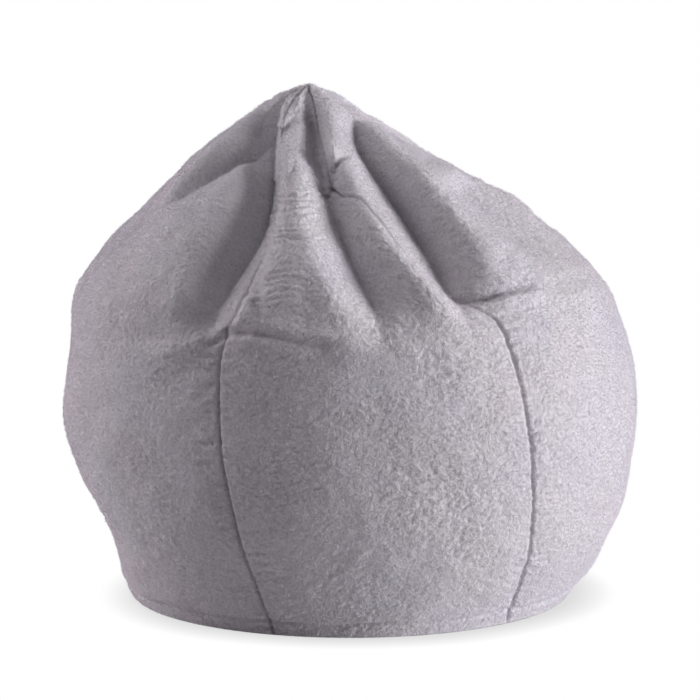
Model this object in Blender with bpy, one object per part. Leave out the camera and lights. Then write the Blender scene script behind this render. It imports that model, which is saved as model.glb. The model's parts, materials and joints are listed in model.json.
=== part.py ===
"""Bean bag chair: a teardrop plush cover of six gores on a zipped base, round a zipped liner full of beads.

Frame: metres, +Z up, origin on the floor under the middle of the base. The front faces -Y.
Angles around the bag start at the front and grow towards +X.
"""

import math

import bmesh
import bpy

# The bag as a whole
BASE_RADIUS = 0.330
HEIGHT = 0.780
TIP_LEAN = -0.062            # sideways shift of the tip, along X
LEAN_START = 0.34            # height where the lean begins
SEAM_DIP = 0.014             # share of the radius by which a seam lies inside the middle of a gore
GAP = 0.0003                 # clearance between pieces that touch

# Radius and height of points on the cover's outer face, which a smooth curve goes through
TIP_RADIUS = 0.002
COVER_OUTLINE = (
    (BASE_RADIUS, 0.00), (0.385, 0.06), (0.427, 0.22), (0.427, 0.36), (0.37, 0.50), (0.20, 0.655),
    (0.08, 0.74), (TIP_RADIUS, HEIGHT),
)
OUTLINE_STEPS = 3            # steps of the curve between two of those points

# Gores: the first seam's angle, and where each gore's columns stand between its two seams
GORE_NAMES = ("front", "front_right", "back_right", "back", "back_left", "front_left")
GORE_ANGLE = 2 * math.pi / len(GORE_NAMES)
FIRST_SEAM = math.radians(-26)
COVER_COLUMNS = (0.0, 0.06, 0.17, 0.33, 0.5, 0.67, 0.83, 0.94, 1.0)
INNER_COLUMNS = (0.0, 0.17, 0.33, 0.5, 0.67, 0.83, 1.0)

# Cloth and beads, by depth inside the cover's outer face
COVER_THICKNESS = 0.007      # backing and pile together
LINER_DEPTH = 0.0075
LINER_THICKNESS = 0.0015
LINER_LOW = COVER_THICKNESS + GAP
LINER_BASE_RADIUS = 0.320
FILL_DEPTH = LINER_DEPTH + LINER_THICKNESS + 0.0005
FILL_LOW = LINER_LOW + LINER_THICKNESS + GAP
FILL_BASE_RADIUS = 0.319
TIP_SINK = 1.06              # how far the tip sinks for each metre of depth inside the cover

# Zips. Each is measured from the outer face of its slider's first plate, over the coil, to the tape
COVER_SLOT = (0.500, 0.016)  # length and width of the opening in the base
LINER_SLOT = (0.440, 0.012)
COVER_ZIP_START = 0.0020     # height of that first plate
LINER_ZIP_START = 0.0127
LINER_TAPE_EDGE = 0.011
PLATE = 0.0008
COIL_WIDTH = 0.0018
COIL_HEIGHT = 0.0016
COIL_START = PLATE + GAP
TAPE_START = COIL_START + COIL_HEIGHT + GAP
TAPE_THICKNESS = 0.0006
FAR_PLATE_START = TAPE_START + TAPE_THICKNESS + GAP
CHANNEL = 0.0008             # half of the gap between the two rows of coil
POST_HALF_WIDTH = 0.0005
SLIDER_LENGTH = 0.012
SLIDER_HALF_WIDTH = 0.0045
LIP_INSIDE = CHANNEL + COIL_WIDTH + 2 * GAP
STOP_LENGTH = 0.004
STOP_INSET = 0.006           # from the end of the slot to a stop
SLIDER_PLAY = 0.0005         # left between the slider and a stop
CROWN_REACH = 0.0035
CROWN_LEG = 0.0011
CROWN_BAR = 0.0006
CROWN_HEIGHT = 0.0016
CROWN_SINK = 0.0003
CROWN_HALF_WIDTH = 0.001
COIL_BEVEL = 0.0004
GROOVE = (0.46, 0.027, 0.0148)  # room for the liner's zip under the beads: length, width, top

PLUSH = ("plush", (0.47, 0.44, 0.49), 0.95, 0.0)
BASE_CLOTH = ("base_cloth", (0.30, 0.28, 0.31), 0.9, 0.0)
LINER_CLOTH = ("liner_cloth", (0.82, 0.82, 0.80), 0.85, 0.0)
BEADS = ("beads", (0.93, 0.93, 0.92), 0.7, 0.0)
ZIP_TAPE = ("zip_tape", (0.33, 0.31, 0.34), 0.85, 0.0)
ZIP_COIL = ("zip_coil", (0.42, 0.40, 0.43), 0.45, 0.0)
ZIP_METAL = ("zip_metal", (0.62, 0.62, 0.63), 0.35, 1.0)


def clear_scene():
    for obj in list(bpy.data.objects):
        bpy.data.objects.remove(obj, do_unlink=True)


def material(name, colour, roughness, metallic):
    found = bpy.data.materials.get(name)
    if found:
        return found
    made = bpy.data.materials.new(name)
    made.use_nodes = True
    shader = made.node_tree.nodes["Principled BSDF"]
    shader.inputs["Base Color"].default_value = (*colour, 1.0)
    shader.inputs["Roughness"].default_value = roughness
    shader.inputs["Metallic"].default_value = metallic
    return made


def add_object(name, shape, parent, finish, location=(0, 0, 0)):
    """Turn a bmesh into a named object under its parent, with its faces pointing out."""
    bmesh.ops.recalc_face_normals(shape, faces=shape.faces)
    if shape.calc_volume(signed=True) < 0:
        bmesh.ops.reverse_faces(shape, faces=shape.faces)
    mesh = bpy.data.meshes.new(name)
    shape.to_mesh(mesh)
    shape.free()
    mesh.materials.append(material(*finish))
    obj = bpy.data.objects.new(name, mesh)
    bpy.context.scene.collection.objects.link(obj)
    obj.parent = parent
    obj.location = location
    return obj


def add_empty(name):
    empty = bpy.data.objects.new(name, None)
    bpy.context.scene.collection.objects.link(empty)
    return empty


def boolean(obj, guide, operation):
    """Cut obj by a guide, or join the guide to it; the guide itself isn't a piece."""
    guide.hide_render = True
    guide.display_type = "WIRE"
    modifier = obj.modifiers.new(operation.lower(), "BOOLEAN")
    modifier.operation = operation
    modifier.object = guide


def bevel(obj, width):
    modifier = obj.modifiers.new("bevel", "BEVEL")
    modifier.width = width
    modifier.segments = 1


# ---- the bag's form ----

def lean(height):
    """Sideways shift of the bag's middle at a height."""
    share = min(max((height - LEAN_START) / (HEIGHT - LEAN_START), 0.0), 1.0)
    return TIP_LEAN * share * share * (3 - 2 * share)


def smooth_outline(points, steps):
    """A smooth curve through an outline, in the same number of steps from each point to the next."""
    first = tuple(2 * a - b for a, b in zip(points[0], points[1]))
    last = tuple(2 * a - b for a, b in zip(points[-1], points[-2]))
    ends = (first, *points, last)
    curve = [points[0]]
    for before, start, end, after in zip(ends, ends[1:], ends[2:], ends[3:]):
        for step in range(1, steps + 1):
            t = step / steps
            curve.append(tuple(
                b + ((c - a) * t + (2 * a - 5 * b + 4 * c - d) * t * t + (3 * b - a - 3 * c + d) * t ** 3) / 2
                for a, b, c, d in zip(before, start, end, after)
            ))
    return curve


def bag_point(radius, height, gore, share, seam_shift=0.0):
    """A point of the bag, part of the way across a gore; seam_shift moves it away from a seam."""
    angle = FIRST_SEAM + GORE_ANGLE * (gore + share)
    reach = radius * (1 - SEAM_DIP * (1 - math.sin(math.pi * share)) ** 2)
    x = reach * math.sin(angle) + seam_shift * math.cos(angle)
    y = -reach * math.cos(angle) + seam_shift * math.sin(angle)
    return (x + lean(height), y, height)


def inner_profile(cover, depth, base_radius, base_height):
    """The cover's profile moved inwards by a depth, from the edge of a base to a lower tip."""
    points = [(base_radius, base_height)]
    triples = zip(cover, cover[1:], cover[2:])
    for before, (radius, height), after in triples:
        run, rise = after[0] - before[0], after[1] - before[1]
        length = math.hypot(run, rise)
        points.append((radius - depth * rise / length, height + depth * run / length))
    return points + [(TIP_RADIUS, HEIGHT - TIP_SINK * depth)]


def gore_solid(outer, inner, gore, columns):
    """A closed curved panel between two seams, with the same number of rows in both faces."""
    shape = bmesh.new()
    grids = []
    for profile in (outer, inner):
        grid = []
        for share in columns:
            shift = {0.0: GAP / 2, 1.0: -GAP / 2}.get(share, 0.0)
            grid.append([shape.verts.new(bag_point(r, z, gore, share, shift)) for r, z in profile])
        grids.append(grid)
    rows, last = len(outer), len(columns) - 1
    for grid in grids:
        for left, right in zip(grid, grid[1:]):
            for j in range(rows - 1):
                shape.faces.new((left[j], right[j], right[j + 1], left[j + 1]))
    out, back = grids
    for i in (0, last):
        for j in range(rows - 1):
            shape.faces.new((out[i][j], out[i][j + 1], back[i][j + 1], back[i][j]))
    for j in (0, rows - 1):
        for i in range(last):
            shape.faces.new((out[i][j], out[i + 1][j], back[i + 1][j], back[i][j]))
    return shape


def add_gores(prefix, outer, inner, columns, parent, finish):
    for gore, place in enumerate(GORE_NAMES):
        add_object(prefix + place, gore_solid(outer, inner, gore, columns), parent, finish)


def turned_solid(profile, columns):
    """A solid with the bag's form, capped flat at both ends of its profile."""
    shape = bmesh.new()
    rings = []
    for radius, height in profile:
        rings.append([
            shape.verts.new(bag_point(radius, height, gore, share))
            for gore in range(len(GORE_NAMES)) for share in columns[:-1]
        ])
    for low, high in zip(rings, rings[1:]):
        for i in range(len(low)):
            j = (i + 1) % len(low)
            shape.faces.new((low[i], low[j], high[j], high[i]))
    shape.faces.new(rings[0])
    shape.faces.new(rings[-1])
    return shape


# ---- flat and straight pieces ----

def prism(outline, start, end, along):
    """Extrude a closed outline along Z, X or Y; its points hold the other two axes in XYZ order."""
    axis = "XYZ".index(along)

    def ring(position):
        return [shape.verts.new((*point[:axis], position, *point[axis:])) for point in outline]

    shape = bmesh.new()
    low, high = ring(start), ring(end)
    shape.faces.new(low)
    shape.faces.new(high)
    for i in range(len(outline)):
        j = (i + 1) % len(outline)
        shape.faces.new((low[i], low[j], high[j], high[i]))
    return shape


def bar(x_span, y_span, z_span):
    (y_low, y_high), (z_low, z_high) = y_span, z_span
    outline = [(y_low, z_low), (y_high, z_low), (y_high, z_high), (y_low, z_high)]
    return prism(outline, *x_span, "X")


def half_base_outline(radius, columns, slot):
    """The front half of a base: round its edge from left to right, then back past the zip's slot."""
    gores = len(GORE_NAMES)
    ring = [
        bag_point(radius, 0.0, gore, share)[:2]
        for gore in range(gores // 2, gores // 2 + gores) for share in columns[:-1]
    ]
    edge = -GAP / 2
    outline = []
    for here, after in zip(ring, ring[1:] + ring[:1]):
        if here[1] < edge:
            outline.append(here)
        if (here[1] < edge) != (after[1] < edge):
            share = (edge - here[1]) / (after[1] - here[1])
            outline.append((here[0] + share * (after[0] - here[0]), edge))
    length, width = slot[0] / 2, slot[1] / 2
    return outline + [(length, edge), (length, -width), (-length, -width), (-length, edge)]


def add_base(prefix, radius, columns, slot, low, thickness, parent, finish):
    """Two half discs; the back one is the front one turned half round."""
    for place, turn in (("front", 0.0), ("back", math.pi)):
        outline = half_base_outline(radius - GAP, columns, slot)
        obj = add_object(prefix + place, prism(outline, low, low + thickness, "Z"), parent, finish)
        obj.rotation_euler.z = turn


# ---- zips ----

def slider_solid(direction):
    """A plate with raised lips under the coil, a post in the channel and a plate over the tape."""
    wide, top = SLIDER_HALF_WIDTH, FAR_PLATE_START + PLATE
    right = [
        (wide, 0.0), (wide, TAPE_START - GAP), (LIP_INSIDE, TAPE_START - GAP),
        (LIP_INSIDE, PLATE), (POST_HALF_WIDTH, PLATE), (POST_HALF_WIDTH, FAR_PLATE_START),
        (wide, FAR_PLATE_START), (wide, top),
    ]
    outline = right + [(-y, z) for y, z in reversed(right)]
    outline = [(y, direction * z) for y, z in outline]
    return prism(outline, -SLIDER_LENGTH / 2, SLIDER_LENGTH / 2, "X")


def crown_solid(direction):
    """The slider's small bridge, which a pull tab would hang on."""
    inside = CROWN_REACH - CROWN_LEG
    outline = [
        (-CROWN_REACH, CROWN_SINK), (-CROWN_REACH, -CROWN_HEIGHT), (CROWN_REACH, -CROWN_HEIGHT),
        (CROWN_REACH, CROWN_SINK), (inside, CROWN_SINK), (inside, CROWN_BAR - CROWN_HEIGHT),
        (-inside, CROWN_BAR - CROWN_HEIGHT), (-inside, CROWN_SINK),
    ]
    outline = [(x, direction * z) for x, z in outline]
    return prism(outline, -CROWN_HALF_WIDTH, CROWN_HALF_WIDTH, "Y")


def add_zip(prefix, slot, start, direction, tape_edge, parent):
    """Tapes, coils, stops and slider; the slider rests against the top stop, at the -X end."""
    def heights(low, high):
        return sorted((start + direction * low, start + direction * high))

    tape_end = slot[0] / 2 - GAP
    stop_out = slot[0] / 2 - STOP_INSET
    stop_in = stop_out - STOP_LENGTH
    coil_end = stop_in - GAP
    coil_out = CHANNEL + COIL_WIDTH
    tape_heights = heights(TAPE_START, TAPE_START + TAPE_THICKNESS)
    coil_heights = heights(COIL_START, COIL_START + COIL_HEIGHT)
    for place, side in (("front", -1), ("back", 1)):
        across = sorted((side * CHANNEL, side * tape_edge))
        tape = bar((-tape_end, tape_end), across, tape_heights)
        add_object(f"{prefix}tape_{place}", tape, parent, ZIP_TAPE)
        across = sorted((side * CHANNEL, side * coil_out))
        coil = bar((-coil_end, coil_end), across, coil_heights)
        bevel(add_object(f"{prefix}coil_{place}", coil, parent, ZIP_COIL), COIL_BEVEL)
    for place, end in (("top", -1), ("bottom", 1)):
        along = sorted((end * stop_in, end * stop_out))
        stop = bar(along, (-coil_out, coil_out), coil_heights)
        bevel(add_object(f"{prefix}{place}_stop", stop, parent, ZIP_METAL), COIL_BEVEL)
    at = (SLIDER_LENGTH / 2 + SLIDER_PLAY - stop_in, 0, start)
    slider = add_object(prefix + "slider", slider_solid(direction), parent, ZIP_METAL, at)
    crown = add_object(prefix + "crown", crown_solid(direction), parent, ZIP_METAL, at)
    boolean(slider, crown, "UNION")


def main():
    clear_scene()
    bag = add_empty("bean_bag")

    cover = smooth_outline(COVER_OUTLINE, OUTLINE_STEPS)
    inner = inner_profile(cover, COVER_THICKNESS, BASE_RADIUS, COVER_THICKNESS)
    add_gores("cover_panel_", cover, inner, COVER_COLUMNS, bag, PLUSH)
    add_base("base_panel_", BASE_RADIUS, COVER_COLUMNS, COVER_SLOT, 0.0, COVER_THICKNESS,
             bag, BASE_CLOTH)
    add_zip("cover_zip_", COVER_SLOT, COVER_ZIP_START, 1, COVER_SLOT[1] / 2 - GAP, bag)

    outer = inner_profile(cover, LINER_DEPTH, LINER_BASE_RADIUS, LINER_LOW)
    inner = inner_profile(cover, LINER_DEPTH + LINER_THICKNESS, LINER_BASE_RADIUS,
                          LINER_LOW + LINER_THICKNESS)
    add_gores("liner_panel_", outer, inner, INNER_COLUMNS, bag, LINER_CLOTH)
    add_base("liner_base_", LINER_BASE_RADIUS, INNER_COLUMNS, LINER_SLOT, LINER_LOW,
             LINER_THICKNESS, bag, LINER_CLOTH)
    add_zip("liner_zip_", LINER_SLOT, LINER_ZIP_START, -1, LINER_TAPE_EDGE, bag)

    profile = inner_profile(cover, FILL_DEPTH, FILL_BASE_RADIUS, FILL_LOW)
    fill = add_object("bean_fill", turned_solid(profile, INNER_COLUMNS), bag, BEADS)
    length, width, top = GROOVE
    groove = bar((-length / 2, length / 2), (-width / 2, width / 2), (0.0, top))
    boolean(fill, add_object("zip_groove", groove, bag, BEADS), "DIFFERENCE")


main()
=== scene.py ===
"""Looks of the bean bag chair: a plush teardrop cover in six gores, gathered into soft folds at its tip.

Every size is in metres in the frame of the CAD model: +Z up, the front faces -Y. Angles go round the bag
in degrees, from the front towards +X. A place on the cover is an (angle, height) pair on its plain form,
before any fold is pressed into it.
"""

import json
import math

import bpy
import numpy as np
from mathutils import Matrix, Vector

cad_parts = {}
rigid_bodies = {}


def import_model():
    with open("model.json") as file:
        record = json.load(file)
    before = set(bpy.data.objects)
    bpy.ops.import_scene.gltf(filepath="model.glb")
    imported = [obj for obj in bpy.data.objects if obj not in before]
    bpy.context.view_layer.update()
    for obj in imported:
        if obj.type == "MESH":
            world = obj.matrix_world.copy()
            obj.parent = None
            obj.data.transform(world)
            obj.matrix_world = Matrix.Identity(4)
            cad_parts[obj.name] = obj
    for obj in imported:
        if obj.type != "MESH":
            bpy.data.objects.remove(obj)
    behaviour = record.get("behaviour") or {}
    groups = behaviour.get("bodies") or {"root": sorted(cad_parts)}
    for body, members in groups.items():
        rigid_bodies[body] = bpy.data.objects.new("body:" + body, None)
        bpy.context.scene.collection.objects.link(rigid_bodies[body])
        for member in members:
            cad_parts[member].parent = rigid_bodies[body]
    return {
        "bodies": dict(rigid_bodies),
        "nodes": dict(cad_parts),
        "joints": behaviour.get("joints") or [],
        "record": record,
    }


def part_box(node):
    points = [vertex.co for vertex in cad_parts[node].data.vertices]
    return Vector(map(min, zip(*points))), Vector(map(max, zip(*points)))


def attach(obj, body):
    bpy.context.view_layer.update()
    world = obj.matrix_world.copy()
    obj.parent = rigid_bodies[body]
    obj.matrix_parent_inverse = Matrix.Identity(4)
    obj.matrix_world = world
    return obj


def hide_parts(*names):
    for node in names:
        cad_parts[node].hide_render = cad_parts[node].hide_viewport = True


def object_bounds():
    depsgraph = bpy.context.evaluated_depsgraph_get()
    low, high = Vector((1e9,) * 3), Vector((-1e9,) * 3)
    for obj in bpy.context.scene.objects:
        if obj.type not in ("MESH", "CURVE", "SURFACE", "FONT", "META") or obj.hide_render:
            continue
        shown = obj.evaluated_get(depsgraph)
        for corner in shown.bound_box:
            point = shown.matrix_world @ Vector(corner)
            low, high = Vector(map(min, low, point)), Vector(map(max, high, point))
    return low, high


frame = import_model()
cad_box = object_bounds()

# ---- driving sizes, from the frame ----

LOW, HIGH = cad_box
HEIGHT = HIGH.z
WIDEST = (HIGH.y - LOW.y) / 2
TIP_LEAN = -0.062            # how far the tip leans to the side, from a height upwards
LEAN_START = 0.34

GORES = ("front", "front_right", "back_right", "back", "back_left", "front_left")
COLUMNS = 160                # fine columns across a gore
ROWS = 520                   # fine rows from the base's edge to the tip
SKIN = 0.004                 # thickness of the cloth under the pile
INNER_STEP = 4               # the inner face has one row and column for this many outer ones

# Radius and height of the plain form, as shares of the widest radius and of the height
FORM = (
    (0.765, 0.00), (0.78, 0.01), (0.81, 0.035), (0.94, 0.16), (0.99, 0.28), (1.00, 0.385), (0.95, 0.56),
    (0.865, 0.64), (0.60, 0.77), (0.32, 0.89), (0.145, 0.958), (0.04, 0.983), (0.0, 0.985),
)

# Angle of each seam at heights from the floor to the tip
SEAMS = (
    ((0.00, -19), (0.25, -24), (0.40, -25), (0.50, -19), (0.58, -16), (0.70, -20), (0.78, -24)),
    ((0.00, 43), (0.20, 37), (0.42, 33), (0.47, 30), (0.53, 20), (0.60, 14), (0.63, 5), (0.70, 3), (0.78, 2)),
    ((0.00, 96), (0.30, 94), (0.45, 92), (0.60, 98), (0.78, 98)),
    ((0.00, 152), (0.30, 154), (0.50, 150), (0.62, 153), (0.78, 158)),
    ((0.00, 216), (0.30, 214), (0.50, 224), (0.62, 219), (0.78, 214)),
    ((0.00, 272), (0.30, 274), (0.48, 280), (0.62, 275), (0.78, 268)),
)


def smooth_curve(points, count):
    """Catmull-Rom curve through rows of numbers, read at even parameter steps."""
    points = np.asarray(points, float)
    padded = np.vstack([2 * points[0] - points[1], points, 2 * points[-1] - points[-2]])
    t = np.linspace(0, len(points) - 1, count)
    i = np.minimum(t.astype(int), len(points) - 2)
    u = (t - i)[:, None]
    a, b, c, d = padded[i], padded[i + 1], padded[i + 2], padded[i + 3]
    bend = 2 * a - 5 * b + 4 * c - d
    twist = 3 * b - a - 3 * c + d
    return 0.5 * (2 * b + (c - a) * u + bend * u**2 + twist * u**3)


def even_curve(points, count):
    """The same curve, read at even steps of length."""
    dense = smooth_curve(points, 60 * len(points))
    along = np.concatenate([[0], np.cumsum(np.linalg.norm(np.diff(dense, axis=0), axis=1))])
    steps = np.linspace(0, along[-1], count)
    return np.stack([np.interp(steps, along, dense[:, k]) for k in range(dense.shape[1])], -1)


# ---- the plain form ----

FORM_CURVE = even_curve(np.array(FORM) * (WIDEST, HEIGHT), 2000)
FORM_SLOPE = np.gradient(FORM_CURVE, axis=0)
FORM_OUT = np.stack([FORM_SLOPE[:, 1], -FORM_SLOPE[:, 0]], -1)
FORM_OUT /= np.linalg.norm(FORM_OUT, axis=1)[:, None]
SHARES = np.linspace(0, 1, len(FORM_CURVE))


def lean(height):
    share = np.clip((height - LEAN_START) / (HEIGHT - LEAN_START), 0, 1)
    return TIP_LEAN * share * share * (3 - 2 * share)


def form_point(angle, share):
    """Point and outward direction of the plain form, at an angle in radians and a share of its length."""
    r = np.interp(share, SHARES, FORM_CURVE[:, 0])
    z = np.interp(share, SHARES, FORM_CURVE[:, 1])
    out_r = np.interp(share, SHARES, FORM_OUT[:, 0])
    out_z = np.interp(share, SHARES, FORM_OUT[:, 1])
    side, front = np.sin(angle), -np.cos(angle)
    point = np.stack([r * side + lean(z), r * front, z], -1)
    out = np.stack([out_r * side, out_r * front, out_z], -1)
    return point, out


def share_at(height):
    return np.interp(height, FORM_CURVE[:, 1], SHARES)


def path_points(path, count):
    """Points and outward directions along a smooth path of (angle, height) pairs."""
    curve = smooth_curve(path, count)
    return form_point(np.radians(curve[:, 0]), share_at(curve[:, 1]))


# ---- noise ----

def noise(points, size, seed):
    """Smooth noise at 3D points, mostly from -1 to 1, with features of a size in metres."""
    rng = np.random.default_rng(seed)
    table = rng.normal(size=(32, 32, 32, 3)).astype(np.float32)
    table /= np.linalg.norm(table, axis=-1, keepdims=True)
    turn = np.linalg.qr(rng.normal(size=(3, 3)))[0]      # the lattice is turned at random
    scaled = (points @ turn / size + 1000.0).astype(np.float32)
    cell = np.floor(scaled)
    t = scaled - cell
    ease = t * t * t * (t * (t * 6 - 15) + 10)
    cell = cell.astype(np.int32)
    total = 0.0
    for dx in (0, 1):
        for dy in (0, 1):
            for dz in (0, 1):
                corner = (cell + (dx, dy, dz)) % 32
                slope = table[corner[..., 0], corner[..., 1], corner[..., 2]]
                height = (slope * (t - (dx, dy, dz))).sum(-1)
                weight = (np.abs(1 - dx - ease[..., 0]) * np.abs(1 - dy - ease[..., 1])
                          * np.abs(1 - dz - ease[..., 2]))
                total = total + weight * height
    return 1.6 * total.astype(float)


# ---- folds ----

# Ridges and valleys that run down from the tip: (angle, height, how far it stands out in millimetres).
# The cloth runs straight from each line to the next one round the bag, and is then rounded.
LONG_LINES = {
    "left_lobe": ((-64, .74, 4), (-54, .70, 12), (-55, .65, 12), (-72, .60, 5)),
    "left_crease": ((-54, .745, -8), (-45, .71, -22), (-41, .68, -26), (-45, .65, -20), (-63, .60, -8)),
    "left_valley": ((-46, .75, -10), (-35, .715, -38), (-25, .66, -52), (-22, .60, -54), (-26, .53, -48),
                    (-28, .44, -15)),
    "column_left": ((-34, .745, 2), (-22, .70, 7), (-13, .63, 12), (-13, .55, 18), (-18, .455, 7)),
    "column_right": ((-16, .74, 8), (-11, .68, 18), (-7, .62, 24), (-5, .56, 28), (-2, .50, 22),
                     (2, .445, 8)),
    "middle_valley": ((-8, .755, -10), (-3, .72, -34), (-2, .68, -34), (1, .64, -24), (3, .58, -34),
                      (6, .50, -34), (7, .45, -10)),
    "seam_ridge": ((14, .75, 3), (13, .715, 13), (11, .67, 20), (12, .62, 16), (15, .56, 21),
                   (19, .49, 19), (22, .445, 3)),
    "deep_valley": ((54, .735, -14), (34, .70, -36), (31, .65, -50), (29, .57, -52), (27, .52, -46),
                    (25, .465, -8)),
    "right_lobe": ((78, .72, -18), (79, .68, -11), (80, .62, 13), (81, .57, 17), (84, .47, 5)),
    "right_side_valley": ((104, .745, -8), (106, .70, -24), (104, .64, -28), (101, .58, -20), (98, .50, -3)),
    "back_right_ridge": ((126, .735, 5), (129, .68, 18), (127, .61, 22), (126, .54, 14), (126, .47, 2)),
    "back_right_valley": ((160, .755, -8), (158, .71, -28), (154, .64, -44), (151, .57, -40), (148, .45, -3)),
    "back_column_right": ((176, .745, 5), (174, .69, 16), (172, .60, 24), (170, .52, 18), (169, .45, 4)),
    "back_column_left": ((196, .745, 5), (197, .69, 16), (200, .60, 22), (203, .52, 16), (205, .45, 4)),
    "back_left_valley": ((213, .755, -8), (215, .71, -30), (218, .64, -42), (222, .56, -36), (227, .44, -2)),
    "back_left_ridge": ((238, .735, 5), (241, .68, 16), (246, .61, 21), (250, .53, 13), (252, .46, 2)),
    "left_side_valley": ((268, .745, -6), (271, .69, -20), (275, .62, -24), (279, .54, -14), (281, .47, -2)),
}
SHORT_LINES = {
    "left_ridge": ((-34, .685, -20), (-30, .64, 6), (-30, .59, 16), (-32, .52, 18), (-35, .45, 2)),
    "band_crest": ((-17, .59, -21), (-20, .53, -12), (-23, .455, -3)),
    "shoulder_ridge": ((60, .74, -10), (47, .705, 0), (40, .655, 10), (37, .60, 18), (37, .55, 20),
                       (36, .515, 16), (38, .49, 4)),
    "hollow": ((60, .64, -3), (57, .60, -9), (56, .55, -10), (55, .50, 0)),
}
LINE_END = 0.04              # a line fades out over this height below its last point
SHORT_FADE = 0.03            # and a short one fades in over this height
RELIEF_COLUMNS = 1440
RELIEF_ROWS = 800
RIDGE_ROUND = 0.011          # how widely ridges and valleys are rounded
VALLEY_ROUND = 0.0030
ROW_ROUND = 2.5              # how widely the relief is rounded up the bag, and how far that reads, in rows
ROW_REACH = 6
THINNEST = 0.004             # the form counts as at least this thick where the rounding is worked out


def line_heights(line, heights):
    """Angle in degrees and outward distance in metres of a line, at each height."""
    curve = smooth_curve(line, 20 * len(line))
    curve = np.vstack([(curve[0, 0], HEIGHT, 0), curve, (curve[-1, 0], curve[-1, 1] - LINE_END, 0)])[::-1]
    angle = np.interp(heights, curve[:, 1], curve[:, 0])
    out = np.interp(heights, curve[:, 1], curve[:, 2], left=0)
    return angle, out / 1000


def blur(values, sigma):
    """Gaussian blur round a closed row; sigma in steps."""
    count = len(values)
    steps = np.fft.rfftfreq(count) * 2 * np.pi
    return np.fft.irfft(np.fft.rfft(values) * np.exp(-0.5 * (steps * sigma) ** 2), count)


def line_relief():
    """Outward distance over the whole cover, on an even grid of angles and shares."""
    shares = np.linspace(0, 1, RELIEF_ROWS)
    heights = np.interp(shares, SHARES, FORM_CURVE[:, 1])
    radii = np.interp(shares, SHARES, FORM_CURVE[:, 0])
    angles = np.arange(RELIEF_COLUMNS) * 360 / RELIEF_COLUMNS
    long_lines = [line_heights(line, heights) for line in LONG_LINES.values()]
    short_lines = [line_heights(line, heights) for line in SHORT_LINES.values()]
    ends = [(line[0][1], line[-1][1]) for line in SHORT_LINES.values()]
    field = np.zeros((RELIEF_COLUMNS, RELIEF_ROWS))
    for row in range(RELIEF_ROWS):
        places = [angle[row] % 360 for angle, _ in long_lines]
        values = [out[row] for _, out in long_lines]
        for (angle, out), (top, bottom) in zip(short_lines, ends):
            share = min(top - heights[row], heights[row] - bottom + LINE_END) / SHORT_FADE
            if share > 0:
                share = min(share, 1)
                plain = np.interp(angle[row] % 360, places, values, period=360)
                places.append(angle[row] % 360)
                values.append(plain + (out[row] - plain) * share * share * (3 - 2 * share))
        straight = np.interp(angles, places, values, period=360)
        step = 2 * np.pi * max(radii[row], THINNEST) / RELIEF_COLUMNS
        field[:, row] = np.minimum(blur(straight, RIDGE_ROUND / step), blur(straight, VALLEY_ROUND / step))
    kernel = np.exp(-0.5 * (np.arange(-ROW_REACH, ROW_REACH + 1) / ROW_ROUND) ** 2)
    kernel /= kernel.sum()
    padded = np.pad(field, ((0, 0), (ROW_REACH, ROW_REACH)), mode="edge")
    return sum(weight * padded[:, i:i + RELIEF_ROWS] for i, weight in enumerate(kernel))


LINE_RELIEF = line_relief()


def read_relief(angles, shares):
    """The relief of the lines at any points, read between its grid points."""
    u = np.mod(angles, 2 * np.pi) / (2 * np.pi) * RELIEF_COLUMNS
    v = np.clip(shares, 0, 1) * (RELIEF_ROWS - 1)
    i, j = np.floor(u).astype(int), np.minimum(np.floor(v).astype(int), RELIEF_ROWS - 2)
    u, v = u - i, v - j
    i, after = i % RELIEF_COLUMNS, (i + 1) % RELIEF_COLUMNS
    low = LINE_RELIEF[i, j] * (1 - u) + LINE_RELIEF[after, j] * u
    high = LINE_RELIEF[i, j + 1] * (1 - u) + LINE_RELIEF[after, j + 1] * u
    return low * (1 - v) + high * v


def fold(path, height, left, right, shape=2.0):
    """A ridge, or with a negative height a valley, along a path that runs down the cover.

    height, left and right are in millimetres, as one value or as several spread along the path; left and
    right are the half widths on the two sides. shape is 2 for a rounded fold and near 1 for a sharp crease.
    """
    return {"path": path, "height": height, "left": left, "right": right, "shape": shape}


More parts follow.
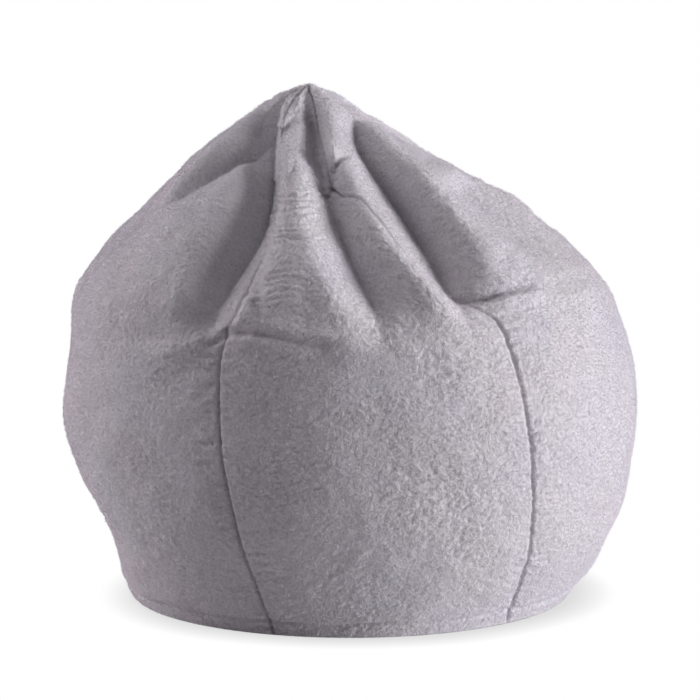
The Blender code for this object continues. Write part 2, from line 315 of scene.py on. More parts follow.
FOLDS = (
    # creases in the middle column, where its upper end is folded over and its flank is pleated
    fold(((-13, .73), (-18, .705), (-26, .69)), (-2, -10, -2), (7, 8), (5, 5), 1.3),
    fold(((-9, .665), (-8, .64), (-10, .615)), (-1, -7, 0), (6, 7), (6, 7), 1.4),
    fold(((-17, .53), (-16, .49), (-15, .44)), (-1, -5, -1), (8, 9), (8, 9), 1.6),
    fold(((-18, .48), (-20, .45)), (2, 8, 3), (7, 8), (7, 8)),
    # the pucker where the right seam turns, with creases that run out of it
    fold(((5, .645), (10, .655), (15, .665)), (-4, -15, -4), (5, 6), (7, 8), 1.2),
    fold(((-2, .635), (2, .632), (6, .64)), (-4, -12, -8), (5, 6), (6, 7), 1.2),
    fold(((8, .675), (8, .66)), (12, 10), (10, 11), (10, 11)),
    # the pocket where the deepest valley ends, under a lip of its own
    fold(((26, .50), (33, .489), (43, .49)), (-10, -18, -3), (14, 12, 10), (4, 4, 4), 1.6),
    fold(((28, .485), (36, .478), (45, .48)), (2, 7, 2), (7, 8), (12, 14)),
    # the lip, where the seat's slope turns down into the front
    fold(((-52, .405), (-36, .41), (-22, .44), (-6, .432), (10, .425), (32, .445)), (0, 9, 11, 9, 7, 2),
         (20, 24), (15, 18)),
    fold(((-27, .42), (-20, .438), (-4, .42)), (-6, -15, -4), (6, 7), (9, 10), 1.4),
    # the crease down the left of the seat
    fold(((-38, .705), (-41, .67), (-52, .63), (-72, .59)), (-2, -10, -10, -2), (9, 10), (5, 6), 1.3),
    # where the bag sags: flatter low on the left, fuller low on the right
    fold(((-135, .14), (-92, .15), (-50, .11)), (-6, -27, -3), (76, 80), (60, 66)),
    fold(((-150, .09), (-100, .09), (-55, .09)), (-3, -25, -4), (70, 75), (70, 70)),
    fold(((60, .06), (85, .05), (110, .07)), (3, 9, 3), (40, 50), (40, 50)),
    fold(((-112, .60), (-88, .59), (-64, .57)), (-4, -10, -4), (60, 66), (60, 66)),
)


def spread(values, share):
    values = np.atleast_1d(np.asarray(values, float)) / 1000
    return np.interp(share, np.linspace(0, 1, len(values)), values)


def press_fold(points, item):
    """How far one fold moves each point outwards."""
    count = 6 * len(item["path"])
    line, out = path_points(item["path"], count)
    reach = 3 * max(np.max(item["left"]), np.max(item["right"])) / 1000
    near = np.all((points > line.min(0) - reach) & (points < line.max(0) + reach), axis=-1)
    chosen = points[near]
    best = np.full(len(chosen), 1e9)
    side = np.zeros(len(chosen))
    share = np.zeros(len(chosen))
    for i in range(count - 1):
        step = line[i + 1] - line[i]
        across = np.cross(out[i], step)
        t = np.clip(((chosen - line[i]) @ step) / (step @ step), 0, 1)
        gap = chosen - (line[i] + t[:, None] * step)
        distance = np.einsum("ij,ij->i", gap, gap)
        closer = distance < best
        best[closer] = distance[closer]
        side[closer] = (gap[closer] @ across) / np.linalg.norm(across)
        share[closer] = (i + t[closer]) / (count - 1)
    width = np.where(side < 0, spread(item["left"], share), spread(item["right"], share))
    profile = np.exp(-((np.sqrt(best) / width) ** item["shape"]))
    moved = np.zeros(points.shape[:-1])
    moved[near] = spread(item["height"], share) * profile
    return moved


# ---- the cover's surface ----

def seam_angle(seam, heights):
    """Angle of a seam in radians; seams past the last one are a turn further round."""
    turn, index = divmod(seam, len(SEAMS))
    curve = smooth_curve(SEAMS[index], 200)
    return np.radians(np.interp(heights, curve[:, 0], curve[:, 1]) + 360 * turn)


def cover_grid(columns, rows):
    """Angles and shares of every grid point: gore after gore, each from seam to seam."""
    shares = np.linspace(0, 1, rows + 1)
    heights = np.interp(shares, SHARES, FORM_CURVE[:, 1])
    angles = []
    for gore in range(len(GORES)):
        left, right = seam_angle(gore, heights), seam_angle(gore + 1, heights)
        for column in range(columns):
            angles.append(left + (right - left) * column / columns)
    return np.array(angles), np.broadcast_to(shares, (len(angles), rows + 1))


def seam_distance(points, columns):
    """Distance of each point from the nearer seam of its gore, along its row."""
    around = np.linalg.norm(np.roll(points, -1, 0) - points, axis=-1)
    gap = np.zeros(points.shape[:2])
    for gore in range(len(GORES)):
        part = slice(gore * columns, (gore + 1) * columns)
        steps = np.cumsum(around[part], axis=0)
        left = np.vstack([np.zeros((1, steps.shape[1])), steps[:-1]])
        gap[part] = np.minimum(left, steps[-1] - left)
    return gap


FOLD_OVER = 0.2              # how far folds lean round the bag, for each metre that they stand out


# Soft bumps all over the cover: the height, size and seed of each kind
BUMPS = ((0.004, 0.16, 1), (0.0025, 0.07, 2))
SMALL_BUMPS = (0.0018, 0.034, 3)
SMALL_BUMPS_FROM = 0.40      # below this height on the bag they are faint
FOLD_FADES = (0.05, 0.03)    # shares of the cover's length over which folds fade out at the base and the tip
RELIEF_FADES = (0.012, 0.02)


def end_fade(shares, fades):
    base, tip = fades
    return np.clip(shares / base, 0, 1) * np.clip((1 - shares) / tip, 0, 1)


def round_way(angles):
    """The level direction that runs round the bag at each angle."""
    return np.stack([np.cos(angles), np.sin(angles), 0 * angles], -1)


def cover_form(angles, shares):
    """Plain form with the folds pressed into it, and its outward directions."""
    points, out = form_point(angles, shares)
    moved = read_relief(angles, shares)
    leaning = -FOLD_OVER * moved
    for item in FOLDS:
        moved += press_fold(points, item)
    moved += sum(height * noise(points, size, seed) for height, size, seed in BUMPS)
    height, size, seed = SMALL_BUMPS
    moved += height * noise(points, size, seed) * np.clip((points[..., 2] - SMALL_BUMPS_FROM) / 0.08, 0.3, 1)
    fade = end_fade(shares, FOLD_FADES)
    return points + (moved * fade)[..., None] * out + (leaning * fade)[..., None] * round_way(angles), out


def split_move(moved_points, angles, shares):
    """The plain form shifted round the bag as the moved points are, their distance outwards and its way."""
    plain, out = form_point(angles, shares)
    around = round_way(angles)
    sideways = np.einsum("ijk,ijk->ij", moved_points - plain, around)
    outwards = np.einsum("ijk,ijk->ij", moved_points - plain, out)
    return plain + sideways[..., None] * around, outwards, out


def grid_normals(points):
    """Outward normals of a grid that closes round its first axis."""
    around = np.roll(points, -1, 0) - np.roll(points, 1, 0)
    up = np.gradient(points, axis=1)
    normals = np.cross(around, up)
    length = np.linalg.norm(normals, axis=-1, keepdims=True)
    return normals / np.maximum(length, 1e-12)


# Relief at the seams, as heights and depths, with how far from the seam each one reaches
SEAM_DIP = 0.0045
DIP_REACH = 0.016
GROOVE_DEPTH = 0.0060
GROOVE_WIDTH = 0.0017
LIP_HEIGHT = 0.0008
LIP_PLACE = 0.0055
LIP_WIDTH = 0.003
PUCKER_HEIGHT = 0.0040
PUCKER_START = 0.004
PUCKER_REACH = 0.030
PUCKER_SIZE = 0.017
PUCKER_PATCH = 0.08          # how far apart the seams' stretches with puckers lie


def seam_relief(points, gap):
    """Groove along each seam, with the gores dipping towards it, a lip beside it and puckers across it."""
    stretched = points * (0.4, 0.4, 1.5)
    ridged = 1 - 2.4 * np.abs(noise(stretched, PUCKER_SIZE, 5))
    pucker = ridged * np.clip(0.5 + noise(points, PUCKER_PATCH, 6), 0, 1)
    pucker = pucker * (np.exp(-gap / PUCKER_REACH) - np.exp(-gap / PUCKER_START)) * PUCKER_HEIGHT
    dip = -SEAM_DIP * np.exp(-gap / DIP_REACH)
    groove = -GROOVE_DEPTH * np.exp(-((gap / GROOVE_WIDTH) ** 1.6))
    lip = LIP_HEIGHT * np.exp(-(((gap - LIP_PLACE) / LIP_WIDTH) ** 2))
    return dip + groove + lip + pucker


CLUMP_SIZE = 0.013           # broad tufts of the pile, and finer ones on them
CLUMP_HEIGHT = 0.0004
TUFT_SIZE = 0.0048
TUFT_HEIGHT = 0.0011


def pile_relief(points):
    """Tufts of the pile, with finer ones on them."""
    coarse = 1 - np.abs(noise(points, CLUMP_SIZE, 7)) * 2
    return CLUMP_HEIGHT * coarse + TUFT_HEIGHT * noise(points, TUFT_SIZE, 8)


COLUMN_X = -0.092            # middle and half size of the wrinkled column, on the front
COLUMN_Z = 0.575
COLUMN_WIDE = 0.048
COLUMN_HIGH = 0.100


def column_share(points):
    """1 on the middle column, where the pile is bent into wrinkles, falling to 0 away from it."""
    across = (points[..., 0] - COLUMN_X) / COLUMN_WIDE
    up = (points[..., 2] - COLUMN_Z) / COLUMN_HIGH
    return np.exp(-(across**2 + up**2)) * (points[..., 1] < 0)


WRINKLE_SPACING = 0.0095
WRINKLE_HEIGHT = 0.0027
FAINT_SIZE = 0.012           # the faint wrinkles off the column, and the patches that they lie in
FAINT_HEIGHT = 0.0019
FAINT_PATCH = 0.07


def wrinkle_relief(points):
    """Fine wrinkles that run round the bag: close together on the middle column, and in faint patches."""
    level = points * (0.3, 0.3, 1.0)
    ridged = 1 - 2.6 * np.abs(noise(level, FAINT_SIZE, 11))
    patches = np.clip(noise(points, FAINT_PATCH, 12) * 1.2, 0, 1)
    drift = points[..., 2] + 0.010 * noise(points, 0.05, 15) + 0.002 * noise(points, 0.012, 16)
    wave = 1 - 2 * np.abs(np.sin(drift * np.pi / WRINKLE_SPACING)) ** 0.7
    strength = np.clip(0.6 + noise(level, 0.02, 17), 0, 1)
    return FAINT_HEIGHT * patches * ridged - WRINKLE_HEIGHT * column_share(points) * strength * wave


CRACKLE_SIZE = 0.0064
CRACKLE_SHARPNESS = 0.18     # the smaller, the thinner its creases
CRACKLE_PATCH = 0.08
CRACKLE_DEPTH = 0.0015


def crackle(points):
    """1 in the finest creases of the pile, which run mostly round the bag, and 0 between them."""
    level = points * (0.5, 0.5, 1.0)
    crease = np.exp(-((noise(level, CRACKLE_SIZE, 61) / CRACKLE_SHARPNESS) ** 2))
    return crease * np.clip(0.55 + 1.3 * noise(points, CRACKLE_PATCH, 62), 0, 1)


ROLL_DEPTH = 0.0035
ROLL_HEIGHT = 0.019
ROLL_WIDTH = 0.004
ROLL_WAVE = 0.004            # how far the crease wanders up and down


def roll_relief(points):
    """The crease just above the floor, where the cover rolls under to the base."""
    wave = ROLL_WAVE * noise(points * (1, 1, 0), 0.09, 14)
    return -ROLL_DEPTH * np.exp(-(((points[..., 2] - ROLL_HEIGHT - wave) / ROLL_WIDTH) ** 2))


PILE_ROOM = 0.0020           # the cloth lies this far inside the form, and the pile fills the rest


def cover_surface(columns, rows):
    angles, shares = cover_grid(columns, rows)
    points, _ = cover_form(angles, shares)
    normals = grid_normals(points)
    gap = seam_distance(points, columns)
    relief = seam_relief(points, gap) + roll_relief(points)
    relief += wrinkle_relief(points) + pile_relief(points) - CRACKLE_DEPTH * crackle(points) - PILE_ROOM
    relief += stuffed_swell(columns, rows)
    points = points + (relief * end_fade(shares, RELIEF_FADES))[..., None] * normals
    points[..., 2] = np.maximum(points[..., 2], 0.0)
    return points


# ---- simulated stuffing ----

SIM_COLUMNS = 20             # coarse columns across a gore, and rows, of the simulated cloth
SIM_ROWS = 72
SIM_FRAMES = 20
SIM_PRESSURE = 4.0
SWELL_CAP = 0.005            # the furthest that the simulation may move the cloth in or out
SWELL_BLUR = 0.8             # how far the swell is evened out round the bag, in coarse columns
SWELL_PASSES = 3             # and how often up the bag, over a coarse row each way


def stuffed_grid():
    """Where pressure moves a coarse grid of the folded cover that is held along its seams, base and tip."""
    start, out = cover_form(*cover_grid(SIM_COLUMNS, SIM_ROWS))
    count, rows = start.shape[:2]
    index, quads = closed_grid(count, rows)
    cloth = add_mesh("stuffed_cloth", start.reshape(-1, 3).tolist(), quads, None)
    held = cloth.vertex_groups.new(name="held")
    held.add(index[::SIM_COLUMNS].ravel().tolist(), 1.0, "REPLACE")
    held.add(index[:, [0, 1, rows - 2, rows - 1]].ravel().tolist(), 1.0, "REPLACE")
    solver = cloth.modifiers.new("cloth", "CLOTH")
    solver.settings.vertex_group_mass = "held"
    solver.settings.use_pressure = True
    solver.settings.uniform_pressure_force = SIM_PRESSURE
    solver.settings.effector_weights.gravity = 0
    solver.point_cache.frame_end = SIM_FRAMES
    scene = bpy.context.scene
    for frame in range(1, SIM_FRAMES + 1):
        scene.frame_set(frame)
    shaped = cloth.evaluated_get(bpy.context.evaluated_depsgraph_get())
    end = np.empty(count * rows * 3, np.float32)
    shaped.data.vertices.foreach_get("co", end)
    mesh = cloth.data
    bpy.data.objects.remove(cloth)
    bpy.data.meshes.remove(mesh)
    scene.frame_set(1)
    return np.einsum("ijk,ijk->ij", end.reshape(count, rows, 3) - start, out)


def stuffed_swell(columns, rows):
    """The simulated swell in metres at each point of a finer grid, evened out and capped."""
    coarse = stuffed_grid()
    coarse = np.clip(coarse - np.median(coarse), -SWELL_CAP, SWELL_CAP)
    around = np.arange(columns * len(GORES)) * SIM_COLUMNS / columns
    up = np.linspace(0, SIM_ROWS, rows + 1)
    count = len(coarse)
    wide = np.array([np.interp(around, np.arange(count), row, period=count) for row in coarse.T])
    fine = np.array([np.interp(up, np.arange(SIM_ROWS + 1), column) for column in wide.T])
    fine = np.array([blur(row, SWELL_BLUR * columns / SIM_COLUMNS) for row in fine.T]).T
    steps = int(rows / SIM_ROWS)
    for _ in range(SWELL_PASSES):
        padded = np.pad(fine, ((0, 0), (steps, steps)), mode="edge")
        total = np.cumsum(np.pad(padded, ((0, 0), (1, 0))), axis=1)
        fine = (total[:, 2 * steps + 1:] - total[:, :-2 * steps - 1]) / (2 * steps + 1)
    return fine


# ---- meshes ----

def add_object(name, data):
    obj = bpy.data.objects.new(name, data)
    bpy.context.scene.collection.objects.link(obj)
    return obj


def closed_grid(count, rows):
    """Vertex numbers of a grid that closes round its first axis, and its quads."""
    index = np.arange(count * rows).reshape(count, rows)
    after = np.roll(index, -1, 0)
    quads = np.stack([index[:, :-1], after[:, :-1], after[:, 1:], index[:, 1:]], -1).reshape(-1, 4)
    return index, quads.tolist()


def add_mesh(name, points, faces, material, smooth=True):
    mesh = bpy.data.meshes.new(name)
    mesh.from_pydata(points, [], faces)
    mesh.validate()
    if smooth:
        mesh.shade_smooth()
    if material:
        mesh.materials.append(material)
    return add_object(name, mesh)


def panel_mesh(name, outer, inner, step, material):
    """A closed curved sheet: a fine outer face, and an inner face of larger cells that share its edge."""
    across, up = outer.shape[0] - 1, outer.shape[1] - 1
    count = (across + 1) * (up + 1)
    index = np.arange(count).reshape(across + 1, up + 1)
    quads = np.stack([index[:-1, :-1], index[1:, :-1], index[1:, 1:], index[:-1, 1:]], -1).reshape(-1, 4)
    back = index + count
    cells = []
    i_stops = list(range(0, across, step)) + [across]
    j_stops = list(range(0, up, step)) + [up]
    for i, i_next in zip(i_stops, i_stops[1:]):
        for j, j_next in zip(j_stops, j_stops[1:]):
            low = range(i, i_next, 1 if j == 0 else step)
            right = range(j, j_next, 1 if i_next == across else step)
            high = range(i_next, i, -1 if j_next == up else -step)
            left = range(j_next, j, -1 if i == 0 else -step)
            ring = [back[k, j] for k in low] + [back[i_next, k] for k in right]
            ring += [back[k, j_next] for k in high] + [back[i, k] for k in left]
            cells.append([int(k) for k in ring[::-1]])
    rim = [index[:, 0], index[-1, :], index[::-1, -1], index[0, ::-1]]
    loop = np.concatenate([side[:-1] for side in rim])
    after = np.roll(loop, -1)
    walls = np.stack([after, loop, loop + count, after + count], -1)
    faces = quads.tolist() + walls.tolist() + cells
    points = np.vstack([outer.reshape(-1, 3), inner.reshape(-1, 3)])
    used = np.unique(np.concatenate([np.ravel(quads), np.ravel(walls), np.concatenate(cells)]))
    renumber = np.zeros(len(points), int)
    renumber[used] = np.arange(len(used))
    faces = [[int(renumber[k]) for k in face] for face in faces]
    return add_mesh(name, points[used].tolist(), faces, material)


def gore_slice(grid, gore, columns):
    """Columns of one gore, with the first column of the next one."""
    return np.take(grid, range(gore * columns, (gore + 1) * columns + 1), axis=0, mode="wrap")


def lowest_near(values, reach):
    """Lowest value within a reach of grid steps; the first axis closes round the bag."""
    for _ in range(reach):
        values = np.minimum.reduce([np.roll(values, 1, 0), values, np.roll(values, -1, 0)])
        padded = np.pad(values, ((0, 0), (1, 1)), mode="edge")
        values = np.minimum.reduce([padded[:, :-2], padded[:, 1:-1], padded[:, 2:]])
    return values


def build_cover(material):
    outer = cover_surface(COLUMNS, ROWS)
    plain, moved, out = split_move(outer, *cover_grid(COLUMNS, ROWS))
    inner = plain + (lowest_near(moved, INNER_STEP) - SKIN)[..., None] * out
    panels = []
    for gore, place in enumerate(GORES):
        name = "plush_panel_" + place
        faces = [gore_slice(grid, gore, COLUMNS)[:, :-1] for grid in (outer, inner)]
        panel = panel_mesh(name, *faces, INNER_STEP, material)
        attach(panel, "bean_bag")
        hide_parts("cover_panel_" + place)
        panels.append(panel)
    return outer, panels


# ---- the pile: fine hairs, which show in renders and aren't pieces of their own ----

HAIRS = 620000
HAIR_LENGTH = 0.0034
HAIR_RADIUS = 0.00015
HAIR_TAPER = (1.0, 1.0, 0.8, 0.25)     # share of the radius at each of a hair's points
# A hair's points, as shares of its length: out from the cloth, and along the way it lies
HAIR_SHAPE = ((-0.12, 0.0), (0.36, 0.10), (0.66, 0.30), (0.80, 0.60))
HAIR_TUFT = 0.0042           # size of the tufts of longer hairs
TUFT_LEAST = 0.65            # share of the length that every hair has, and what the tufts add to it
TUFT_GAIN = 0.45
SEAM_BARE = 0.0022           # hairs nearer to a seam than this are shorter, down to a share of their length
SEAM_LENGTH = 0.25
COLUMN_CUT = 0.7             # shares by which hairs are shorter on the wrinkled column and in the crackle
CRACKLE_CUT = 0.65
# How hairs lie: down the bag, together over some millimetres and some centimetres, and each its own way
DOWNWARD = 0.8
SWEEP = 0.25
SWEEP_SIZE = 0.005
DRIFT = 0.2
DRIFT_SIZE = 0.045
SCATTER = 0.35
HAIR_FLOOR = 0.0004          # hairs stay this far above the floor


def build_pile(outer, panels, material):
    """Hairs spread evenly over the cover, combed downwards and leaning together in tufts."""
    rng = np.random.default_rng(21)
    after = np.roll(outer, -1, 0)
    side = after[:, :-1] - outer[:, :-1]
    up = outer[:, 1:] - outer[:, :-1]
    area = np.linalg.norm(np.cross(side, up), axis=-1)
    gap = seam_distance(outer, COLUMNS)
    for gore, panel in enumerate(panels):
        part = slice(gore * COLUMNS, (gore + 1) * COLUMNS)
        weight = np.cumsum(area[part].ravel())
        count = int(HAIRS * weight[-1] / area.sum())
        cell = np.searchsorted(weight, rng.uniform(0, weight[-1], count))
        i, j = np.divmod(cell, area.shape[1])
        u, v = rng.uniform(size=(2, count, 1))
        s_cell, u_cell = side[part][i, j], up[part][i, j]
        root = outer[part][i, j] + u * s_cell + v * u_cell
        near_seam = np.clip(gap[part][i, j, None] / SEAM_BARE, 0, 1)
        near_seam = near_seam * (1 - COLUMN_CUT * column_share(root)[:, None])
        normal = np.cross(s_cell, u_cell)
        normal /= np.linalg.norm(normal, axis=1, keepdims=True) + 1e-12
        down = -u_cell / (np.linalg.norm(u_cell, axis=1, keepdims=True) + 1e-12)
        sweep = np.stack([noise(root, SWEEP_SIZE, 31 + axis) for axis in range(3)], -1)
        broad = np.stack([noise(root, DRIFT_SIZE, 41 + axis) for axis in range(3)], -1)
        lay = DOWNWARD * down + SWEEP * sweep + DRIFT * broad + rng.normal(0, SCATTER, (count, 3))
        lay -= np.einsum("ij,ij->i", lay, normal)[:, None] * normal
        tuft = np.clip(0.5 + 1.1 * noise(root, HAIR_TUFT, 35), 0, 1)[:, None]
        length = HAIR_LENGTH * rng.uniform(0.7, 1.1, (count, 1)) * (TUFT_LEAST + TUFT_GAIN * tuft)
        length = length * (SEAM_LENGTH + (1 - SEAM_LENGTH) * near_seam)
        length = length * (1 - CRACKLE_CUT * crackle(root)[:, None])
        points = [root + length * (out * normal + along * lay) for out, along in HAIR_SHAPE]
        points = np.stack(points, 1)
        points[..., 2] = np.maximum(points[..., 2], HAIR_FLOOR)
        curves = bpy.data.hair_curves.new("pile_" + GORES[gore])
        curves.add_curves([len(HAIR_SHAPE)] * count)
        curves.position_data.foreach_set("vector", points.astype(np.float32).ravel())
        radius = np.tile(HAIR_RADIUS * np.array(HAIR_TAPER, np.float32), count)
        curves.points.foreach_set("radius", radius)
        curves.materials.append(material)
        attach(add_object("pile_" + GORES[gore], curves), "bean_bag")


# ---- liner and beads, inside the cover ----

INNER_COLUMNS = 24
INNER_ROWS = 80
LINER_DEPTH = 0.015
LINER_THICKNESS = 0.0015
LINER_FOOT = (0.3195, 0.0075)          # radius and height of the lowest edge of its outside and its inside
LINER_INNER_FOOT = (0.3175, 0.0090)
FILL_DEPTH = 0.018
FILL_FOOT = (0.3130, 0.0152)
INNER_TOP_RADIUS = 0.06      # where the inner surfaces close under the gathered tip


def inner_surface(depth, edge_radius, edge_height):
    """A surface that stays a depth inside the cover and its folds, from the edge of a base to the tip."""
    angles, shares = cover_grid(INNER_COLUMNS, INNER_ROWS)
    plain, moved, out = split_move(cover_form(angles, shares)[0], angles, shares)
    moved = lowest_near(moved, 2)
    for _ in range(2):
        moved = (np.roll(moved, 1, 0) + 2 * moved + np.roll(moved, -1, 0)) / 4
    points = plain + (moved - depth)[..., None] * out
    narrow = np.interp(shares[0], SHARES, FORM_CURVE[:, 0])
    keep = int(np.argmax(narrow < INNER_TOP_RADIUS))
    points = points[:, :keep]
    angle = angles[:, 0]
    points[:, 0] = np.stack([edge_radius * np.sin(angle), -edge_radius * np.cos(angle),
                             np.full(len(angle), edge_height)], -1)
    points[..., 2] = np.maximum(points[..., 2], edge_height)
    top = np.broadcast_to(points[:, -1].mean(0) + (0, 0, 0.004), (len(angle), 1, 3))
    return np.concatenate([points, top * 0.97 + points[:, -1:] * 0.03], 1)


def build_liner(material):
    outer = inner_surface(LINER_DEPTH, *LINER_FOOT)
    inner = inner_surface(LINER_DEPTH + LINER_THICKNESS, *LINER_INNER_FOOT)
    for gore, place in enumerate(GORES):
        panel = panel_mesh("inner_bag_panel_" + place, gore_slice(outer, gore, INNER_COLUMNS),
                           gore_slice(inner, gore, INNER_COLUMNS), 1, material)
        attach(panel, "bean_bag")
        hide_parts("liner_panel_" + place)


def build_beads(material):
    grid = inner_surface(FILL_DEPTH, *FILL_FOOT)
    index, quads = closed_grid(*grid.shape[:2])
    faces = quads + [index[::-1, 0].tolist(), index[:, -1].tolist()]
    beads = add_mesh("packed_beads", grid.reshape(-1, 3).tolist(), faces, material)
    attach(beads, "bean_bag")
    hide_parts("bean_fill")


# ---- bases ----

BASE_GAP = 0.0003            # half the gap between the halves of a base, beyond the ends of the zip's slot
HEM_WIDTH = 0.016            # the hem beside the slot, and where its two ridges of stitches run
HEM_RIDGES = (0.010, 0.004)
RIDGE_WIDTH = 0.0012


def base_cloth(prefix, radius, slot_half, slot_edge, low, high, wave, slot, material):
    """The two halves of a base, each a curved sheet with a straight edge that opens into the zip's slot."""
    angles = np.radians(np.linspace(-90, 90, 201))
    shares = np.linspace(0, 1, 81)[None, :, None]
    made = []
    for place, turn in (("front", 1), ("back", -1)):
        side = radius * np.sin(angles)
        opening = np.clip((slot_half + 0.001 - np.abs(side)) / 0.002, 0, 1)
        edge = BASE_GAP + (slot_edge - BASE_GAP) * opening
        rim = -np.maximum(radius * np.cos(angles), edge + 0.0005)
        straight = np.stack([side, -edge], -1)[:, None]
        round_edge = np.stack([side, rim], -1)[:, None]
        flat = (straight + (round_edge - straight) * shares) * turn
        points = np.concatenate([flat, np.zeros(flat.shape[:2] + (1,))], -1)
        rise = np.clip(wave * (0.8 * noise(points, 0.10, 51) + 0.5 * noise(points, 0.035, 52) + 0.6), 0, None)
        inward = np.abs(flat[..., 1]) - slot_edge
        near_slot = (inward < HEM_WIDTH) & (np.abs(flat[..., 0]) < slot_half)
        rise = rise * np.clip(np.abs(inward - HEM_WIDTH / 2) / (HEM_WIDTH / 2) - 0.4, 0.1, 1)
        stitch = sum(np.exp(-((inward - ridge) / RIDGE_WIDTH) ** 2) for ridge in HEM_RIDGES)
        rise = rise + 0.25 * wave * stitch * near_slot
        below, above = points.copy(), points.copy()
        below[..., 2] = low + rise
        above[..., 2] = high - 0.3 * rise
        piece = panel_mesh(prefix + place, below, above, 4, material)
        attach(piece, "bean_bag")
        made.append(piece)
    return made


# Radius, half length and half width of the zip's slot, lowest and highest point, and height of the waves
COVER_BASE = (0.3297, 0.250, 0.008, 0.0, 0.0069, 0.0012)
LINER_BASE = (0.3190, 0.220, 0.006, 0.0074, 0.0087, 0.0002)


def build_bases(cover_cloth, liner_cloth):
    halves = base_cloth("base_cloth_", *COVER_BASE, "base_cloth", cover_cloth)
    for piece, place in zip(halves, ("front", "back")):
        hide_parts("base_panel_" + place)
    halves = base_cloth("inner_base_", *LINER_BASE, "liner_cloth", liner_cloth)
    for piece, place in zip(halves, ("front", "back")):
        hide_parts("liner_base_" + place)


STITCH_ROWS = (0.012, 0.018)           # distances from the zip's middle
STITCHES = 118
STITCH_START = -0.2457
STITCH_PITCH = 0.0042
STITCH_HALF = 0.0016
STITCH_RADIUS = 0.00045
STITCH_HEIGHT = 0.0006


def capsules(name, centres, half_length, radius, material):
    """Short rounded threads along X, one at each centre."""
    sides = 6
    rings = ((-1.0, 0.0), (-0.8, 0.8), (0.0, 1.0), (0.8, 0.8), (1.0, 0.0))
    points, faces = [], []
    for centre in centres:
        first = len(points)
        for along, wide in rings:
            for k in range(sides):
                turn = 2 * math.pi * k / sides
                points.append((centre[0] + along * half_length, centre[1] + wide * radius * math.cos(turn),
                               centre[2] + wide * radius * math.sin(turn)))
        for ring in range(len(rings) - 1):
            for k in range(sides):
                a, b = first + ring * sides + k, first + ring * sides + (k + 1) % sides
                faces.append((a, a + sides, b + sides, b))
    return add_mesh(name, points, faces, material)


def build_stitches(material):
    """Two rows of stitches on each side of the cover's zip."""
    centres = [(STITCH_START + STITCH_PITCH * k, side * row, STITCH_HEIGHT)
               for row in STITCH_ROWS for side in (-1, 1) for k in range(STITCHES)]
    threads = capsules("zip_stitches", centres, STITCH_HALF, STITCH_RADIUS, material)
    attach(threads, "bean_bag")


# ---- zips ----

TAPE_THIN = 0.75             # share of its full thickness that a tape has away from its corded edge
CORD_PLACE = 0.0014
CORD_WIDTH = 0.0008


def zip_tape(name, node, material):
    """A woven tape in the place of a CAD tape, with a corded edge beside the coil."""
    low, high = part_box(node)
    side = 1 if high.y > 0.002 else -1
    columns, rows = 401, 13
    x = np.linspace(low.x, high.x, columns)
    y = np.linspace(low.y, high.y, rows)[::side]
    grid = np.stack(np.meshgrid(x, y, indexing="ij"), -1)
    points = np.concatenate([grid, np.zeros((columns, rows, 1))], -1)
    ripple = 0.00008 * noise(points, 0.02, 61) + 0.00004
    cord = np.exp(-((np.abs(points[..., 1]) - CORD_PLACE) / CORD_WIDTH) ** 2)
    thick = (high.z - low.z) * (TAPE_THIN + (1 - TAPE_THIN) * cord)
    middle = (low.z + high.z) / 2 + ripple
    below, above = points.copy(), points.copy()
    below[..., 2] = middle - thick / 2
    above[..., 2] = middle + thick / 2
    first, second = (below, above) if side < 0 else (above, below)
    tape = panel_mesh(name, first, second, 4, material)
    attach(tape, "bean_bag")
    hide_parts(node)


COIL_PITCH = 0.0017
COIL_WIRE = 0.00026


def zip_coil(name, node, material):
    """A coil of wire along the tape's edge, in the place of a CAD coil."""
    low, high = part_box(node)
    side = 1 if high.y > 0.002 else -1
    inside, outside = 0.0006, max(abs(low.y), abs(high.y))
    turns = int((high.x - low.x - 2 * COIL_WIRE) / COIL_PITCH)
    steps, ring = 10, 5
    turn = np.linspace(0, 2 * np.pi * turns, steps * turns + 1)
    x = low.x + COIL_WIRE + (high.x - low.x - 2 * COIL_WIRE) * turn / turn[-1]
    y = side * ((inside + outside) / 2 + ((outside - inside) / 2 - COIL_WIRE) * np.cos(turn))
    z = (low.z + high.z) / 2 + ((high.z - low.z) / 2 - COIL_WIRE) * np.sin(turn)
    path = np.stack([x, y, z], -1)
    out = np.stack([0 * turn, side * np.cos(turn), np.sin(turn)], -1)
    around = 2 * np.pi * np.arange(ring) / ring
    along = np.zeros_like(path)
    along[:, 0] = 1
    skin = path[:, None] + COIL_WIRE * (np.cos(around)[None, :, None] * out[:, None]
                                        + np.sin(around)[None, :, None] * along[:, None])
    index = np.arange(skin.shape[0] * ring).reshape(skin.shape[0], ring)
    beside = np.roll(index, -1, 1)
    quads = np.stack([index[:-1], beside[:-1], beside[1:], index[1:]], -1).reshape(-1, 4)
    faces = quads.tolist() + [index[0, ::-1].tolist(), index[-1].tolist()]
    coil = add_mesh(name, skin.reshape(-1, 3).tolist(), faces, material)
    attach(coil, "bean_bag")
    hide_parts(node)


SLIDER_FLANK = 0.0040        # the slider's sides lie further out than this, and are drawn in by its taper
SLIDER_TAPER = 0.0008
SLIDER_ROUND = 0.00018


